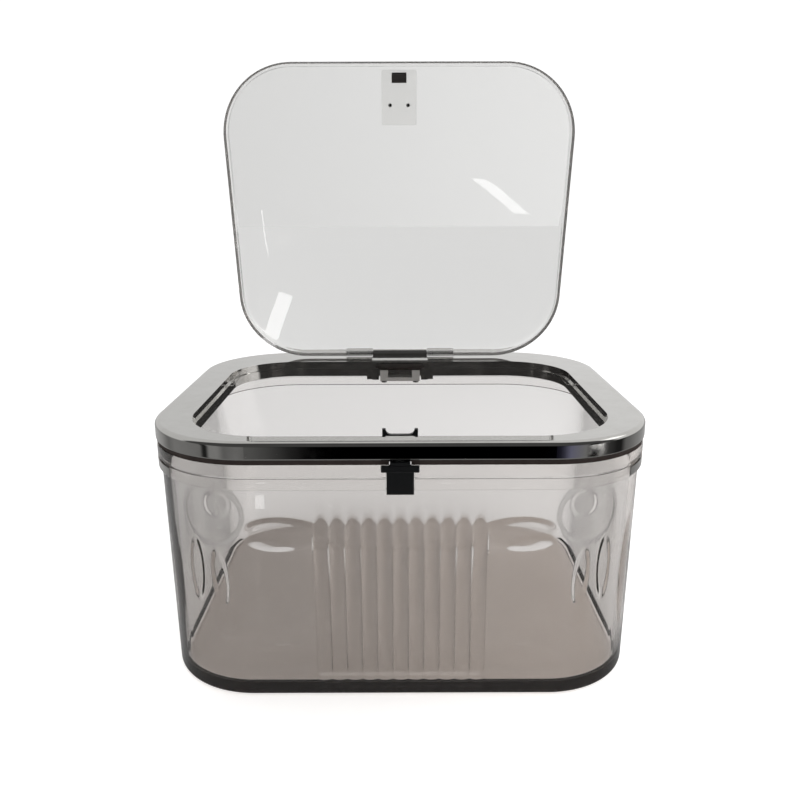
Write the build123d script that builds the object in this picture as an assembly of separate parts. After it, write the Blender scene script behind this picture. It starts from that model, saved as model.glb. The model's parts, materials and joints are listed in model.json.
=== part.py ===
"""Clear storage box with a chrome rim, a sprung flip-up lid and a push-button latch.

Millimetres, +Z up. The origin is the centre of the underside, on the surface
that the box stands on. The front, with the latch, faces -Y. The lid is modelled
standing open, as it stops on its hinge.
"""
import math
import os

from build123d import *

CUT = 1.0                # how far a cutter reaches past what it cuts

# Rim: a chrome ring with a flat top, hollow underneath
RIM_W = 250.0            # outer width
RIM_L = 211.0            # outer depth
RIM_R = 54.0             # outer corner radius
RIM_Z = 134.0            # height of its top above the table
RIM_FACE = 8.9           # height of its outer face
RIM_SKIN = 1.8           # thickness of its top and outer wall
RIM_EDGE = 2.4           # rounding of its outer top edge
RIM_FOOT = 1.0           # rounding of its outer lower edge
FLANGE_W = 6.4           # width of the foot flange that sits on the seal
FLANGE_T = 1.5           # thickness of that flange
SIDE_BAND = 19.4         # width of the top face at the sides
FRONT_BAND = 9.6         # width of the top face at the front
BACK_BAND = 33.8         # width of the top face at the back, under the hinge
OPEN_R_FRONT = 41.0      # corner radius of the opening, front
OPEN_R_BACK = 37.0       # corner radius of the opening, back
SKIRT_T = 1.6            # thickness of the skirt round the opening
SKIRT_UPPER = 4.4        # height of the skirt's upper tier
SKIRT_STEP = 1.2         # how far the lower tier stands in
SKIRT_DEPTH = 9.6        # depth of the skirt below the top face

# Seal between the rim and the tub
SEAL_T = 2.0             # height of the seal
SEAL_W = 4.6             # width of the seal
SEAL_SET = 0.8           # how far it lies inside the rim's outer face

# Tub: thick clear walls under a stepped collar
COLLAR_SET = 0.4         # collar face, inside the rim's outer face
BAND_H = 6.2             # height of the collar's upper band
GROOVE_H = 0.7           # height of the groove between the bands
GROOVE_D = 0.7           # depth of the groove
LOWER_BAND_H = 5.6       # height of the collar's lower band
COLLAR_EDGE = 0.6        # rounding of the collar's lower edge
WALL_SET = 2.1           # wall face under the collar, inside the rim's outer face
WALL_T = 3.2             # wall thickness
WALL_LEAN = 2.4          # how much further in the wall is at its foot
FOOT_CORNER_R = 47.0     # outer corner radius at the foot
FLOOR_T = 5.0            # floor thickness
FOOT_R = 1.5             # rounding of the outer foot edge
FLOOR_R = 4.0            # rounding where the floor meets the walls, inside

# Fluted panel on the front wall
FLUTES = 11              # number of flutes
FLUTE_PITCH = 7.5        # spacing
FLUTE_RISE = 0.9         # how far each flute stands out
FLUTE_LAND = 0.35        # flat line between two flutes
FLUTE_TOP_GAP = 3.1      # from the collar's underside to the top of the flutes
FLUTE_DOME = 28.0        # length over which a flute rises at its top
FLUTE_FOOT = 4.5         # height of their lower ends above the table

# Side clips in the collar's lower band, at the front corners
CLIP_DEPTH = 1.4         # depth of the window
CLIP_FROM = 4.0          # back end of the clip, degrees round the corner from the side
CLIP_TO = 42.0           # front end of the clip, degrees round the corner
CLIP_GAP = 0.15          # clearance round the clip
CLIP_SLIT = 0.8          # slit above the clip

# Hinge
HINGE_SET = 17.0         # pin axis in front of the rim's back face
HINGE_Z = 2.5            # pin axis above the rim's top
HINGE_PIN_R = 1.1        # pin radius
RUN_FIT = 0.05           # radial running clearance of the turning knuckles
KNUCKLE_R = 2.1          # outer radius of the knuckles
BRACKET_W = 37.0         # width of the bracket and its middle knuckle
LID_KNUCKLE_L = 18.0     # length of each lid knuckle
KNUCKLE_GAP = 0.35       # side clearance between knuckles
BRACKET_T = 1.8          # thickness of the bracket plate
BRACKET_EDGE = 1.4       # rounding of its front edge
BRACKET_OVER = 5.6       # how far the plate reaches over the opening
ARM_W = 4.4              # width of each arm
ARM_T = 3.4              # thickness of each arm, front to back
ARM_TOE = 1.5            # thickness of the toe under the skirt
ARM_GAP = 0.3            # gap between an arm and the skirt
ARM_SET = 0.8            # how much thinner a keeper block is than its arm
BARREL_R = 2.5           # radius of the spring barrel
BARREL_STUB_R = 1.3      # radius of its end stubs
BARREL_END_GAP = 0.2     # side clearance to the arms
BARREL_SEAT_GAP = 0.02   # radial clearance of its seats
STUB_L = 2.0             # length of each stub inside its arm
KEEPER_W = 3.6           # width of the keeper blocks beside the arms
KEEPER_H = 5.6           # height of the keeper blocks
KEEPER_DROP = 1.2        # top of the keeper blocks below the skirt's upper tier
CLAMP_H = 2.4            # height of the clamp bar
POST_W = 5.2             # width of the clamp posts
POST_GAP = 0.9           # gap between a post and the arm beside it
CLAMP_END = 0.6          # ends of the clamp bar inside the posts' centres
SCREW_R = 1.1            # clamp screw radius
SCREW_HEAD_R = 1.9       # clamp screw head radius
SCREW_HEAD_H = 1.0       # clamp screw head height
SCREW_END_GAP = 1.2      # from a screw's end to the barrel

# Lid
LID_OPEN = 77.5          # opening angle at its stop, degrees from closed
LID_LAP = 0.6            # how far its sides lie over the rim, closed
LID_LAP_FRONT = 0.8      # how far its free edge lies over the rim, closed
LID_TAIL = 1.1           # how far it reaches behind the pin axis, closed
LID_R_FREE = 43.0        # corner radius at the free edge
LID_R_HINGE = 43.0       # corner radius at the hinge
LID_GAP = 0.3            # gap between its lip and the rim, closed
LID_H = 7.0              # height of its edge
LID_T = 2.4              # wall thickness
LID_CROWN = 3.2          # rise of the middle over the edge
CROWN_REACH = 0.86       # where the crown meets the edge height, as a share of the half diagonal
LID_EDGE = 3.0           # rounding of the outer edge
LID_INNER_R = 1.4        # rounding inside the lip
NOTCH_GAP = 0.5          # clearance round the bracket's knuckle
ROOT_TOP = 1.2           # top of the knuckle roots below the lid's edge
ROOT_BACK = 0.6          # back of the knuckle roots in front of the lid's back face

# Catch on the lid
PAD_W = 21.0             # width of the catch plate
PAD_L = 31.0             # length of the catch plate
PAD_T = 1.0              # thickness of the catch plate
PAD_R = 1.5              # its corner radius
PAD_SET = 4.7            # from the lid's free edge to the plate
TONGUE_W = 8.6           # width of the tongue
TONGUE_SET = 6.2         # from the lid's free edge to the barb's tip
TONGUE_T = 2.1           # thickness of its stem
BARB = 2.5               # how far the barb stands out of the stem
BARB_H = 2.6             # height of the barb
BARB_RAMP = 0.9          # length of the barb's ramp as a share of its reach
BARB_NOSE = 0.6          # height of that ramp as a share of its height
BARB_GAP = 0.3           # gap between the barb and the latch's crossbar
PAD_PIN_R = 0.7          # radius of the two catch plate pins
PAD_PIN_SPREAD = 5.4     # pins from the middle
PAD_PIN_SET = 19.6       # pins behind the plate's front end
PAD_PIN_HEAD = 0.5       # height of the pin heads
PAD_PIN_HEAD_R = 1.05    # radius of the pin heads
PANEL_GAP = 0.05         # from the catch to the lid's panel

# Latch
LATCH_PIN_R = 0.8        # pivot pin radius
LATCH_PIN_L = 17.0       # pivot pin length
LATCH_Y = 3.3            # pivot behind the rim's outer face
LATCH_Z = 12.6           # pivot below the rim's top
NECK_W = 9.3             # width of the neck
NECK_TOP = 9.3           # top of the neck, below the rim's top
ARM_UP = 1.45            # lever arm above the pivot
ARM_DOWN = 1.45          # lever arm below the pivot
NOTCH_LOW = 0.8          # room under the arm in the collar's notch
WING_W = 17.6            # width of the wings
WING_TOP = 10.9          # top of the wings, below the rim's top
WING_H = 2.4             # height of the wings
WING_SET = 0.6           # how far the wings stand back from the button's face
NECK_SET = 0.9           # how far the neck stands back from the button's face
LAP = 0.4                # overlap that joins two blocks of the lever
BUTTON_W = 12.6          # width of the button
BUTTON_LOW = 24.4        # its lower edge, below the rim's top
BUTTON_OUT = 2.8         # how far it stands out of the rim's outer face
BUTTON_REST = 0.1        # its back, outside the rim's outer face
BUTTON_EDGE = 0.7        # rounding of its edges
POCKET_D = 2.3           # depth of the pocket behind it, from the collar's face
POCKET_GAP = 0.45        # clearance round it
BARB_HOLD = 1.2          # how far the barb reaches under the crossbar
FORK_T = 2.1             # thickness of the upright
FORK_W = 16.8            # width of the upright over both ears
EAR_W = 4.2              # width of each ear at its foot
EAR_FOOT = 0.05          # how far the ears' hollows stay above the crossbar
EAR_UP = 1.9             # top of the ears above the rim's top
BAR_TOP = 0.8            # top of the crossbar, below the rim's top
BAR_H = 3.0              # height of the crossbar
SLOT_LOW = 8.6           # foot of the barb's window, below the rim's top
SLOT_W = 9.4             # width of the barb's window
SPRING_WIRE = 0.5        # latch spring wire diameter
SPRING_R = 1.65          # latch spring coil radius, to the wire's middle
SPRING_TURNS = 3         # latch spring turns
SPRING_PITCH = 0.75      # latch spring pitch
SPRING_SLOT = 3.4        # width of the slot for the spring in the lever
SPRING_ROOM = 2.6        # reach of that slot before and behind the pivot
SPRING_RISE = 3.0        # reach of that slot above the arm


def outline(w, l, r, y=0.0):
    """Rounded rectangle with one corner radius, centred at y."""
    return Pos(0, y) * RectangleRounded(w, l, r)


def outline2(w, y0, y1, r0, r1):
    """Rounded rectangle from y0 to y1 with radius r0 at y0 and r1 at y1."""
    face = Rectangle(w, y1 - y0)
    face = fillet(face.vertices().group_by(Axis.Y)[0], r0)
    face = fillet(face.vertices().group_by(Axis.Y)[-1], r1)
    return Pos(0, (y0 + y1) / 2) * face


def rim_outline(inset):
    """The rim's outer outline moved inwards by inset."""
    return outline(RIM_W - 2 * inset, RIM_L - 2 * inset, RIM_R - inset)


def opening(inset):
    """The rim's opening moved inwards by inset; a negative inset moves it outwards."""
    return outline2(
        RIM_W - 2 * SIDE_BAND - 2 * inset,
        -RIM_L / 2 + FRONT_BAND + inset,
        RIM_L / 2 - BACK_BAND - inset,
        OPEN_R_FRONT - inset,
        OPEN_R_BACK - inset,
    )


def slab(face, z0, z1):
    """Straight block over a face between two heights."""
    return extrude(Pos(0, 0, z0) * face, amount=z1 - z0)


def block(x0, x1, y0, y1, z0, z1):
    """Box between two corners."""
    return Pos((x0 + x1) / 2, (y0 + y1) / 2, (z0 + z1) / 2) * Box(x1 - x0, y1 - y0, z1 - z0)


def rod_x(x0, x1, y, z, r):
    """Cylinder along X."""
    return Pos((x0 + x1) / 2, y, z) * Rot(0, 90, 0) * Cylinder(r, x1 - x0)


def rod_z(x, y, z0, z1, r):
    """Cylinder along Z."""
    return Pos(x, y, (z0 + z1) / 2) * Cylinder(r, z1 - z0)


def both(shape):
    """A shape and its mirror image across the middle."""
    return shape + mirror(shape, about=Plane.YZ)


def write(shape, node):
    """Write one node's STEP file."""
    export_step(shape, os.path.join("parts", node + ".step"))


# Heights and faces that several pieces share
FACE_Y = -RIM_L / 2
RIM_LOW = RIM_Z - RIM_FACE
COLLAR_TOP = RIM_LOW - SEAL_T
GROOVE_TOP = COLLAR_TOP - BAND_H
LOWER_BAND_TOP = GROOVE_TOP - GROOVE_H
COLLAR_LOW = LOWER_BAND_TOP - LOWER_BAND_H
COLLAR_FACE = FACE_Y + COLLAR_SET
OPEN_FRONT = FACE_Y + FRONT_BAND
OPEN_BACK = RIM_L / 2 - BACK_BAND
SKIRT_LOW = RIM_Z - SKIRT_DEPTH
PIVOT_Y = FACE_Y + LATCH_Y
PIVOT_Z = RIM_Z - LATCH_Z
HINGE_Y = RIM_L / 2 - HINGE_SET
POST_X = BRACKET_W / 2 - ARM_W - POST_GAP - POST_W / 2
LID_W = RIM_W - 2 * SIDE_BAND + 2 * LID_LAP
LID_FRONT = LID_LAP_FRONT - OPEN_FRONT
LID_BACK = HINGE_Y + LID_TAIL
BARB_TIP = TONGUE_SET - LID_FRONT
FORK_BACK = BARB_TIP + BARB_HOLD
FORK_FRONT = FORK_BACK - FORK_T


def make_rim():
    """Chrome rim: top plate, outer wall, foot flange and two-tier skirt."""
    top = slab(rim_outline(0), RIM_Z - RIM_SKIN, RIM_Z)
    wall = slab(rim_outline(0), RIM_LOW, RIM_Z - RIM_SKIN)
    body = top + wall
    body = fillet(body.edges().group_by(Axis.Z)[-1], RIM_EDGE)
    body = fillet(body.edges().group_by(Axis.Z)[0], RIM_FOOT)
    body -= slab(rim_outline(RIM_SKIN), RIM_LOW + FLANGE_T, RIM_Z - RIM_SKIN)
    body -= slab(rim_outline(FLANGE_W), RIM_LOW, RIM_LOW + FLANGE_T)
    skirt = slab(opening(-SKIRT_T), SKIRT_LOW, RIM_Z - RIM_SKIN)
    body += skirt
    upper = RIM_Z - SKIRT_UPPER
    body -= slab(opening(0), upper, RIM_Z)
    body -= slab(opening(SKIRT_STEP), SKIRT_LOW, upper)
    outer_relief = slab(opening(-SKIRT_T - CUT), SKIRT_LOW, upper - SKIRT_T)
    outer_relief -= slab(opening(-SKIRT_T + SKIRT_STEP), SKIRT_LOW, upper - SKIRT_T)
    body -= outer_relief
    return body


def make_seal():
    """Dark seal ring between the rim's flange and the collar."""
    ring = slab(rim_outline(SEAL_SET), COLLAR_TOP, RIM_LOW)
    ring -= slab(rim_outline(SEAL_SET + SEAL_W), COLLAR_TOP, RIM_LOW)
    gap = NECK_W / 2 + POCKET_GAP
    return ring - block(-gap, gap, FACE_Y, FACE_Y + SEAL_SET + SEAL_W + CUT, COLLAR_TOP, RIM_LOW)


def clip_region(gap, depth, z0, z1):
    """Stretch of the collar's lower band round the right front corner, held in at its ends by gap."""
    ring = slab(rim_outline(COLLAR_SET), z0, z1)
    ring -= slab(rim_outline(COLLAR_SET + depth), z0, z1)
    corner = (RIM_W / 2 - RIM_R, RIM_R - RIM_L / 2)
    turn = math.degrees(gap / RIM_R)
    rays = [math.radians(a) for a in (CLIP_FROM + turn, CLIP_TO - turn)]
    ends = [(corner[0] + 2 * RIM_R * math.cos(a), corner[1] - 2 * RIM_R * math.sin(a)) for a in rays]
    zone = make_face(Polyline(corner, ends[0], ends[1], close=True))
    return ring & slab(zone, z0, z1)


def wall_faces(inset_top, inset_foot, z_top, z_foot):
    """Two outlines of the leaning wall, at its top and at its foot."""
    top = outline(RIM_W - 2 * inset_top, RIM_L - 2 * inset_top, RIM_R - inset_top)
    foot_r = FOOT_CORNER_R - (inset_foot - WALL_SET - WALL_LEAN)
    foot = outline(RIM_W - 2 * inset_foot, RIM_L - 2 * inset_foot, foot_r)
    return [Pos(0, 0, z_foot) * foot, Pos(0, 0, z_top) * top]


def make_tub():
    """Clear tub: leaning walls, thick floor, stepped collar, flutes on the front."""
    foot_in = WALL_SET + WALL_LEAN
    body = loft(wall_faces(WALL_SET, foot_in, COLLAR_LOW, 0), ruled=True)
    body = fillet(body.edges().group_by(Axis.Z)[0], FOOT_R)
    collar = slab(rim_outline(COLLAR_SET), COLLAR_LOW, COLLAR_TOP)
    collar = fillet(collar.edges().group_by(Axis.Z)[0], COLLAR_EDGE)
    body += collar
    body += make_flutes()
    groove = slab(rim_outline(COLLAR_SET - CUT), LOWER_BAND_TOP, GROOVE_TOP)
    body -= groove - slab(rim_outline(COLLAR_SET + GROOVE_D), LOWER_BAND_TOP, GROOVE_TOP)
    inner = loft(wall_faces(WALL_SET + WALL_T, foot_in + WALL_T, COLLAR_LOW, FLOOR_T), ruled=True)
    inner = fillet(inner.edges().group_by(Axis.Z)[0], FLOOR_R)
    inner += slab(rim_outline(WALL_SET + WALL_T), COLLAR_LOW, COLLAR_TOP)
    body -= inner
    body -= both(clip_region(0, CLIP_DEPTH, COLLAR_LOW, LOWER_BAND_TOP))
    through = FACE_Y + WALL_SET + WALL_T + CUT
    neck = NECK_W / 2 + POCKET_GAP
    body -= block(-neck, neck, FACE_Y, through, PIVOT_Z - ARM_DOWN - NOTCH_LOW, COLLAR_TOP)
    pocket = BUTTON_W / 2 + POCKET_GAP
    body -= block(-pocket, pocket, FACE_Y, COLLAR_FACE + POCKET_D, COLLAR_LOW, PIVOT_Z - ARM_DOWN)
    body -= rod_x(-LATCH_PIN_L / 2, LATCH_PIN_L / 2, PIVOT_Y, PIVOT_Z, LATCH_PIN_R)
    return body


def make_flutes():
    """Row of round-backed upright flutes that lean with the front wall, domed at both ends."""
    chord = FLUTE_PITCH - FLUTE_LAND
    r = (chord ** 2 / 4 + FLUTE_RISE ** 2) / (2 * FLUTE_RISE)
    bend = (FLUTE_DOME ** 2 + FLUTE_RISE ** 2) / (2 * FLUTE_RISE)
    lean = math.degrees(math.atan2(WALL_LEAN, COLLAR_LOW))
    top = COLLAR_LOW - FLUTE_TOP_GAP - FLUTE_DOME
    length = top - FLUTE_FOOT - chord / 2
    rod = Pos(0, 0, -length / 2) * Cylinder(r, length)
    rod += Pos(0, 0, -length) * Sphere(r)
    turn = math.degrees(math.asin((FLUTE_DOME + CUT) / bend))
    rod += revolve(Circle(r), axis=Axis((0, bend - r, 0), (-1, 0, 0)), revolution_arc=turn)
    face_y = FACE_Y + WALL_SET + WALL_LEAN * (COLLAR_LOW - top) / COLLAR_LOW
    rod = Pos(0, face_y + r - FLUTE_RISE, top) * Rot(lean, 0, 0) * rod
    deep = FACE_Y + WALL_SET + WALL_LEAN + WALL_T / 2
    keep = block(-chord / 2, chord / 2, FACE_Y, deep, 0, COLLAR_LOW)
    rod &= keep
    flutes = None
    for i in range(FLUTES):
        x = (i - (FLUTES - 1) / 2) * FLUTE_PITCH
        flutes = Pos(x, 0, 0) * rod if flutes is None else flutes + Pos(x, 0, 0) * rod
    return flutes


def make_clip():
    """Right side clip, flush in its window in the collar's lower band."""
    body = clip_region(CLIP_GAP, CLIP_DEPTH - CLIP_GAP, COLLAR_LOW, LOWER_BAND_TOP - CLIP_SLIT)
    outer = [e for e in body.edges().group_by(Axis.Z)[0] if e.length > CLIP_DEPTH * 2]
    outer = sorted(outer, key=lambda e: e.length)[-1]
    return fillet(outer, CLIP_DEPTH / 2)


def make_bracket():
    """Hinge bracket: plate on the rim, middle knuckle, two arms down into the opening."""
    half = BRACKET_W / 2
    front = OPEN_BACK - BRACKET_OVER
    plate = block(-half, half, front, HINGE_Y, RIM_Z, RIM_Z + BRACKET_T)
    front_edges = plate.edges().filter_by(Axis.X).group_by(Axis.Y)[0]
    plate = fillet(front_edges.group_by(Axis.Z)[-1], BRACKET_EDGE)
    body = plate + rod_x(-half, half, HINGE_Y, RIM_Z + HINGE_Z, KNUCKLE_R)
    back = OPEN_BACK - SKIRT_STEP - ARM_GAP
    toe_top = SKIRT_LOW - ARM_GAP
    arm = block(half - ARM_W, half, back - ARM_T, back, toe_top - ARM_TOE, RIM_Z + BRACKET_T / 2)
    arm += block(half - ARM_W, half, back, OPEN_BACK + SKIRT_T, toe_top - ARM_TOE, toe_top)
    keeper_top = RIM_Z - SKIRT_UPPER - KEEPER_DROP
    arm += block(half, half + KEEPER_W, back - ARM_T + ARM_SET, back, keeper_top - KEEPER_H, keeper_top)
    body += both(arm)
    barrel_y = back - BARREL_R
    barrel_z = RIM_Z - BARREL_R
    ends = half - ARM_W + STUB_L
    body -= rod_x(-half, half, HINGE_Y, RIM_Z + HINGE_Z, HINGE_PIN_R)
    body -= rod_x(-ends, ends, barrel_y, barrel_z, BARREL_STUB_R)
    body -= rod_x(-half + ARM_W, half - ARM_W, barrel_y, barrel_z, BARREL_R + BARREL_SEAT_GAP)
    return body


def make_barrel():
    """Spring barrel between the bracket's arms, on two end stubs."""
    half = BRACKET_W / 2
    y = OPEN_BACK - SKIRT_STEP - ARM_GAP - BARREL_R
    z = RIM_Z - BARREL_R
    end = half - ARM_W - BARREL_END_GAP
    body = rod_x(-end, end, y, z, BARREL_R)
    stub = half - ARM_W + STUB_L
    body += rod_x(-stub, stub, y, z, BARREL_STUB_R)
    return body


def make_clamp():
    """Clamp under the skirt: a bar with two posts that meet the barrel."""
    back = OPEN_BACK - SKIRT_STEP - ARM_GAP
    top = SKIRT_LOW - ARM_GAP
    end = POST_X - CLAMP_END
    body = block(-end, end, back - ARM_T, OPEN_BACK + SKIRT_T, top - CLAMP_H, top)
    axis_z = RIM_Z - BARREL_R
    post = block(POST_X - POST_W / 2, POST_X + POST_W / 2, back - ARM_T, back, top - CLAMP_H, axis_z)
    body += both(post)
    body -= rod_x(-BRACKET_W / 2, BRACKET_W / 2, back - BARREL_R, axis_z, BARREL_R + BARREL_SEAT_GAP)
    for side in (-1, 1):
        x = side * POST_X
        body -= rod_z(x, back - ARM_T / 2, top - CLAMP_H, RIM_Z - 2 * BARREL_R - SCREW_END_GAP, SCREW_R)
    return body


def make_clamp_screws():
    """Two screws up through the clamp's posts."""
    back = OPEN_BACK - SKIRT_STEP - ARM_GAP
    low = SKIRT_LOW - ARM_GAP - CLAMP_H
    screw = rod_z(POST_X, back - ARM_T / 2, low, RIM_Z - 2 * BARREL_R - SCREW_END_GAP, SCREW_R)
    screw += rod_z(POST_X, back - ARM_T / 2, low - SCREW_HEAD_H, low, SCREW_HEAD_R)
    return both(screw)


def make_hinge_pin():
    """Hinge pin through the bracket and both lid knuckles."""
    end = BRACKET_W / 2 + KNUCKLE_GAP + LID_KNUCKLE_L
    return rod_x(-end, end, HINGE_Y, RIM_Z + HINGE_Z, HINGE_PIN_R)


def open_lid(shape):
    """Turn a piece drawn closed to where the lid stands open."""
    axis = Axis((0, HINGE_Y, RIM_Z + HINGE_Z), (1, 0, 0))
    return shape.rotate(axis, -LID_OPEN)


def lid_shell(inset, z0, z_edge):
    """Rounded slab with a crowned top, moved inwards by inset."""
    face = outline2(
        LID_W - 2 * inset,
        -LID_FRONT + inset,
        LID_BACK - inset,
        LID_R_FREE - inset,
        LID_R_HINGE - inset,
    )
    half = math.hypot(LID_W / 2, (LID_FRONT + LID_BACK) / 2) * CROWN_REACH
    r = (half ** 2 + LID_CROWN ** 2) / (2 * LID_CROWN)
    centre = Pos(0, (LID_BACK - LID_FRONT) / 2, z_edge + LID_CROWN - r)
    return slab(face, z0, z_edge + LID_CROWN + CUT) & (centre * Rot(90, 0, 0) * Sphere(r))


def top_loop(shape, low):
    """Edges of the crowned top, which lie above low and hardly rise."""
    return [e for e in shape.edges() if e.center().Z > low and e.bounding_box().size.Z < 2 * LID_CROWN]


def make_lid():
    """Clear lid: crowned panel, turned-down lip, two knuckles, notch for the bracket."""
    z0 = RIM_Z + LID_GAP
    outer = lid_shell(0, z0, z0 + LID_H)
    outer = fillet(top_loop(outer, z0 + LID_H / 2), LID_EDGE)
    inner = lid_shell(LID_T, z0, z0 + LID_H - LID_T)
    inner = fillet(top_loop(inner, z0 + (LID_H - LID_T) / 2), LID_INNER_R)
    body = outer - inner
    x0 = BRACKET_W / 2 + KNUCKLE_GAP
    axis_z = RIM_Z + HINGE_Z
    x1 = x0 + LID_KNUCKLE_L
    knuckle = rod_x(x0, x1, HINGE_Y, axis_z, KNUCKLE_R)
    root_top = z0 + LID_H - ROOT_TOP
    knuckle += block(x0, x1, HINGE_Y - KNUCKLE_R, LID_BACK - ROOT_BACK, axis_z, root_top)
    body += both(knuckle)
    reach = KNUCKLE_R + NOTCH_GAP
    body -= block(-x0, x0, HINGE_Y - reach, LID_BACK + CUT, z0 - CUT, axis_z)
    body -= rod_x(-x0, x0, HINGE_Y, axis_z, reach)
    body -= rod_x(-x1, x1, HINGE_Y, axis_z, HINGE_PIN_R + RUN_FIT)
    return open_lid(body)


def panel_under(y):
    """Height of the lid's underside over the line x = 0, closed."""
    half = math.hypot(LID_W / 2, (LID_FRONT + LID_BACK) / 2) * CROWN_REACH
    r = (half ** 2 + LID_CROWN ** 2) / (2 * LID_CROWN)
    drop = r - math.sqrt(r * r - (y - (LID_BACK - LID_FRONT) / 2) ** 2)
    return RIM_Z + LID_GAP + LID_H - LID_T + LID_CROWN - drop


def make_catch_plate():
    """Clear plate under the lid's free edge, with holes for the tongue and two pins."""
    y0 = -LID_FRONT + PAD_SET
    y1 = y0 + PAD_L
    z = panel_under(y0) - PAD_T
    body = slab(outline(PAD_W, PAD_L, PAD_R, (y0 + y1) / 2), z, RIM_Z + LID_GAP + LID_H)
    body = body & lid_shell(LID_T, z - CUT, RIM_Z + LID_GAP + LID_H - LID_T - PANEL_GAP)
    through = z + LID_H
    body -= block(-TONGUE_W / 2, TONGUE_W / 2, BARB_TIP, BARB_TIP + BARB + TONGUE_T, z - CUT, through)
    for side in (-1, 1):
        body -= rod_z(side * PAD_PIN_SPREAD, y0 + PAD_PIN_SET, z - CUT, through, PAD_PIN_R)
    return body


def make_tongue():
    """Dark tongue that hangs from the catch plate, with a barb towards the front."""
    stem = BARB_TIP + BARB
    plate_z = panel_under(PAD_SET - LID_FRONT) - PAD_T
    barb_top = RIM_Z - BAR_TOP - BAR_H - BARB_GAP
    half = TONGUE_W / 2
    top = panel_under(BARB_TIP) - PANEL_GAP
    body = block(-half, half, stem, stem + TONGUE_T, barb_top - BARB_H, top)
    barb = block(-half, half, BARB_TIP, stem, barb_top - BARB_H, barb_top)
    nose = barb.edges().filter_by(Axis.X).group_by(Axis.Y)[0].group_by(Axis.Z)[0]
    body += chamfer(nose, BARB_H * BARB_NOSE, BARB * BARB_RAMP)
    return body + block(-half, half, BARB_TIP, stem, plate_z, top)


def make_catch_pins():
    """Two small pins that hold the catch plate."""
    y = -LID_FRONT + PAD_SET + PAD_PIN_SET
    plate_z = panel_under(PAD_SET - LID_FRONT) - PAD_T
    top = panel_under(y) - PANEL_GAP
    pin = rod_z(PAD_PIN_SPREAD, y, plate_z, top, PAD_PIN_R)
    pin += rod_z(PAD_PIN_SPREAD, y, plate_z - PAD_PIN_HEAD, plate_z, PAD_PIN_HEAD_R)
    return both(pin)


def make_latch():
    """Latch lever: button and wings outside, arm through the collar, fork inside."""
    out = FACE_Y - BUTTON_OUT
    rest = FACE_Y - BUTTON_REST
    wing_low = RIM_Z - WING_TOP - WING_H
    body = block(-BUTTON_W / 2, BUTTON_W / 2, out, rest, RIM_Z - BUTTON_LOW, wing_low)
    body = fillet(body.edges().group_by(Axis.Y)[0], BUTTON_EDGE)
    wings = block(-WING_W / 2, WING_W / 2, out + WING_SET, rest, wing_low - LAP, RIM_Z - WING_TOP)
    body += fillet(wings.edges().filter_by(Axis.Z).group_by(Axis.Y)[0], BUTTON_EDGE)
    arm_top = PIVOT_Z + ARM_UP
    arm_low = PIVOT_Z - ARM_DOWN
    neck = NECK_W / 2
    body += block(-neck, neck, out + NECK_SET, PIVOT_Y, arm_low, RIM_Z - NECK_TOP)
    body += block(-neck, neck, rest - LAP, FORK_BACK, arm_low, arm_top)
    bar_top = RIM_Z - BAR_TOP
    half = FORK_W / 2
    body += block(-half, half, FORK_FRONT, FORK_BACK, arm_low, bar_top)
    ear_top = RIM_Z + EAR_UP
    ear = block(half - EAR_W, half, FORK_FRONT, FORK_BACK, bar_top, ear_top)
    bore = Cylinder(EAR_UP + BAR_TOP - EAR_FOOT, 4 * FORK_T)
    hollow = Pos(half - EAR_W, FORK_FRONT, ear_top) * Rot(90, 0, 0) * bore
    body += both(ear - hollow)
    window = SLOT_W / 2
    body -= block(-window, window, FORK_FRONT - CUT, FORK_BACK + CUT, RIM_Z - SLOT_LOW, bar_top - BAR_H)
    body -= rod_x(-NECK_W, NECK_W, PIVOT_Y, PIVOT_Z, LATCH_PIN_R + RUN_FIT)
    slot = SPRING_SLOT / 2
    room = (PIVOT_Y - SPRING_ROOM, PIVOT_Y + SPRING_ROOM)
    return body - block(-slot, slot, room[0], room[1], arm_low - CUT, arm_top + SPRING_RISE)


def make_latch_pin():
    """Pivot pin of the latch, its ends in the collar."""
    return rod_x(-LATCH_PIN_L / 2, LATCH_PIN_L / 2, PIVOT_Y, PIVOT_Z, LATCH_PIN_R)


def make_latch_spring():
    """Coil of the torsion spring round the pivot pin, from six-sided wire."""
    length = SPRING_PITCH * SPRING_TURNS
    helix = Pos(-length / 2, PIVOT_Y, PIVOT_Z) * Rot(0, 90, 0) * Helix(SPRING_PITCH, length, SPRING_R)
    section = Plane(helix @ 0, z_dir=helix % 0) * RegularPolygon(SPRING_WIRE / 2, 6)
    return sweep(section, path=helix, transition=Transition.RIGHT)


def main():
    os.makedirs("parts", exist_ok=True)
    rim = make_rim()
    write(rim, "rim")
    write(make_seal(), "rim_seal")
    write(make_tub(), "tub")
    clip = make_clip()
    write(clip, "side_clip_right")
    write(mirror(clip, about=Plane.YZ), "side_clip_left")
    write(make_bracket(), "hinge_bracket")
    write(make_barrel(), "spring_barrel")
    write(make_clamp(), "hinge_clamp")
    write(make_clamp_screws(), "clamp_screws")
    write(make_hinge_pin(), "hinge_pin")
    write(make_lid(), "lid")
    write(open_lid(make_catch_plate()), "catch_plate")
    write(open_lid(make_tongue()), "catch_tongue")
    write(open_lid(make_catch_pins()), "catch_pins")
    write(make_latch(), "latch_lever")
    write(make_latch_pin(), "latch_pin")
    write(make_latch_spring(), "latch_spring")


main()
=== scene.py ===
"""Looks of the clear storage box: smoky walls and lid, chromed rim, black push button.

Everything is in the part's own frame: +Z up, -Y to the front, the origin at
the centre of the underside. Shapes and lamps are written in millimetres and
turned to metres on their way to Blender; shader distances are in metres.
"""

import json
import math

import bmesh
import bpy
import numpy as np
from mathutils import Matrix, Vector


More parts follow.
